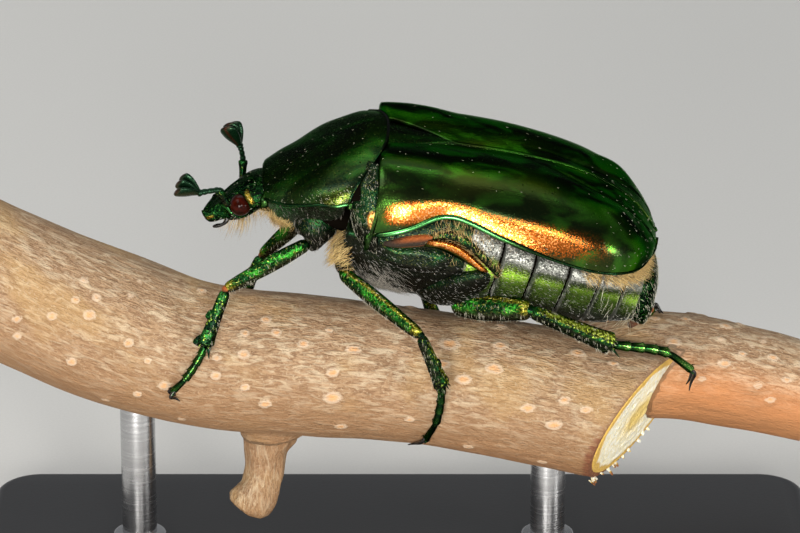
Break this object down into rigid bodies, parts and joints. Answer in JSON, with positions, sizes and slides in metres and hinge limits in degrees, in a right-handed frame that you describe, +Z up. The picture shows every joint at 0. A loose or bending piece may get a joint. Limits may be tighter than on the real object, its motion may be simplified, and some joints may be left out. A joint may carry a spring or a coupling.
{
  "type": "copper chafer",
  "caption": "Life-size still model of a copper chafer gripping a cut branch, held on a small flat display stand by short rods.",
  "frame": {"origin": "centre of the stand's underside", "axes": "+Z up; X along the perch with the beetle's head towards -X; +Y to the beetle's right side"},
  "size_m": [0.036, 0.015, 0.0209],
  "materials": {
    "shell": "glossy metallic green cuticle with a copper sheen",
    "belly": "green cuticle under short grey hair",
    "leg": "metallic green cuticle, darker at the feet",
    "eye": "very glossy dark red-brown",
    "antenna": "satin dark brown",
    "bark": "dull grey-brown bark with pale pores, fresh pale wood at the cut",
    "stand_base": "satin black",
    "stand_rod": "brushed"
  },
  "bodies": {
    "root": {"head": "shell", "eye_left": "eye", "eye_right": "eye", "antenna_left": "antenna", "antenna_right": "antenna", "pronotum": "shell", "scutellum": "shell", "elytron_left": "shell", "elytron_right": "shell", "pygidium": "shell", "prosternum": "belly", "mesothorax": "belly", "metathorax": "belly", "abdomen": "belly", "leg_front_left_coxa": "belly", "leg_front_left_femur": "leg", "leg_front_left_tibia": "leg", "leg_front_left_tarsus": "leg", "leg_front_right_coxa": "belly", "leg_front_right_femur": "leg", "leg_front_right_tibia": "leg", "leg_front_right_tarsus": "leg", "leg_middle_left_coxa": "belly", "leg_middle_left_femur": "leg", "leg_middle_left_tibia": "leg", "leg_middle_left_tarsus": "leg", "leg_middle_right_coxa": "belly", "leg_middle_right_femur": "leg", "leg_middle_right_tibia": "leg", "leg_middle_right_tarsus": "leg", "leg_hind_left_femur": "leg", "leg_hind_left_tibia": "leg", "leg_hind_left_tarsus": "leg", "leg_hind_right_femur": "leg", "leg_hind_right_tibia": "leg", "leg_hind_right_tarsus": "leg", "branch": "bark", "stand_base": "stand_base", "stand_rod_left": "stand_rod", "stand_rod_right": "stand_rod"}
  },
  "joints": []
}
